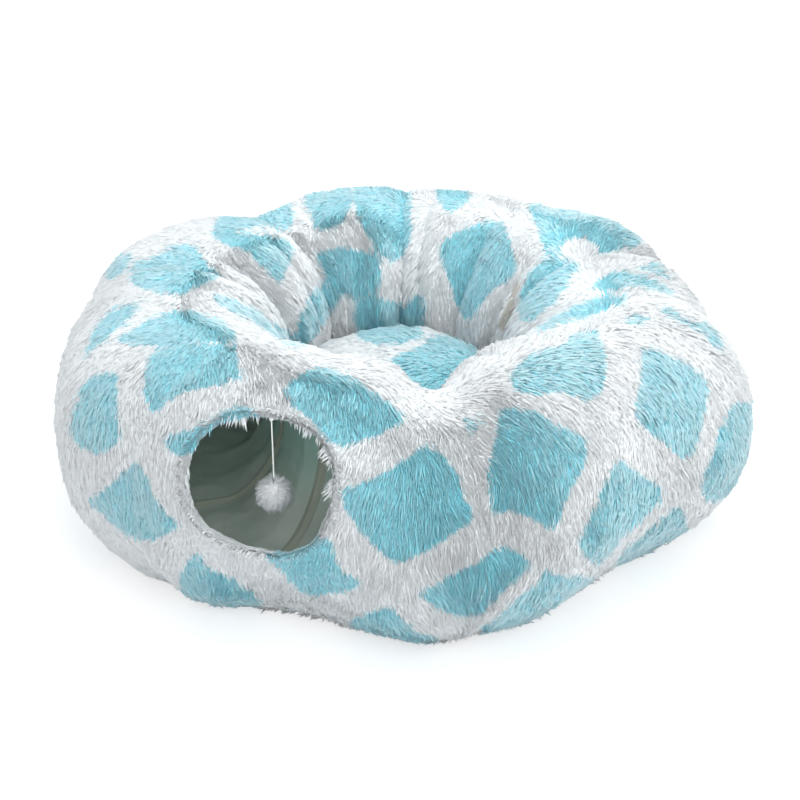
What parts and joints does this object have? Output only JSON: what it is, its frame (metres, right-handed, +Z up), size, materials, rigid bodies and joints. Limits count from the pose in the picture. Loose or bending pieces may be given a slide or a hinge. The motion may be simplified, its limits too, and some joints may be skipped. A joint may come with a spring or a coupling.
{
  "type": "donut cat tunnel",
  "caption": "Ring-shaped plush cat tunnel with a front and a rear entry, a loose cushion in the middle and a hanging pompom.",
  "frame": {"origin": "middle of the ring's box, on the floor", "axes": "+Z up, front entry towards -Y, rear entry towards +Y"},
  "size_m": [0.8174, 0.8296, 0.2917],
  "materials": {
    "plush": "long white and teal pile",
    "lining_cloth": "thin grey-green polyester",
    "spring_steel": "bare wire",
    "brown_tape": "woven tape",
    "rim_tape": "bias tape",
    "floor_cloth": "plain weave",
    "cushion_plush": "long white and teal pile",
    "cushion_under": "plain weave",
    "piping_cord": "covered cord",
    "filling": "fibre fill",
    "thread": "twisted string",
    "fluff": "pale fluffy yarn"
  },
  "bodies": {
    "tunnel": {"plush_lobe_1": "plush", "plush_lobe_2": "plush", "plush_lobe_3": "plush", "plush_lobe_4": "plush", "plush_lobe_5": "plush", "plush_lobe_6": "plush", "plush_lobe_7": "plush", "tunnel_lining": "lining_cloth", "spring_hoop_1": "spring_steel", "spring_hoop_2": "spring_steel", "spring_hoop_3": "spring_steel", "spring_hoop_4": "spring_steel", "spring_hoop_5": "spring_steel", "spring_hoop_6": "spring_steel", "spring_hoop_7": "spring_steel", "spring_hoop_8": "spring_steel", "spring_hoop_9": "spring_steel", "hoop_casing_1": "brown_tape", "hoop_casing_2": "brown_tape", "hoop_casing_3": "brown_tape", "hoop_casing_4": "brown_tape", "hoop_casing_5": "brown_tape", "hoop_casing_6": "brown_tape", "hoop_casing_7": "brown_tape", "hoop_casing_8": "brown_tape", "hoop_casing_9": "brown_tape", "front_entry_binding": "rim_tape", "rear_entry_binding": "rim_tape", "well_floor": "floor_cloth"},
    "toy_knot_body": {"toy_knot": "thread"},
    "toy": {"toy_cord": "thread", "pompom": "fluff"},
    "cushion": {"cushion_upper_cover": "cushion_plush", "cushion_lower_cover": "cushion_under", "cushion_piping": "piping_cord", "cushion_filling": "filling"}
  },
  "joints": [
    {"name": "toy_swing_in_out", "type": "hinge", "parent": "tunnel", "child": "toy_knot_body", "pos_m": [-0.13709, -0.309, 0.26134], "axis": [0.9285, -0.3714, 0], "range_deg": [-45, 45]},
    {"name": "toy_swing_sideways", "type": "hinge", "parent": "toy_knot_body", "child": "toy", "pos_m": [-0.13709, -0.309, 0.26134], "axis": [-0.3714, -0.9285, 0], "range_deg": [-35, 35]},
    {"name": "cushion_lift", "type": "slide", "parent": "tunnel", "child": "cushion", "axis": [0, 0, 1], "range_m": [0, 0.3]}
  ]
}
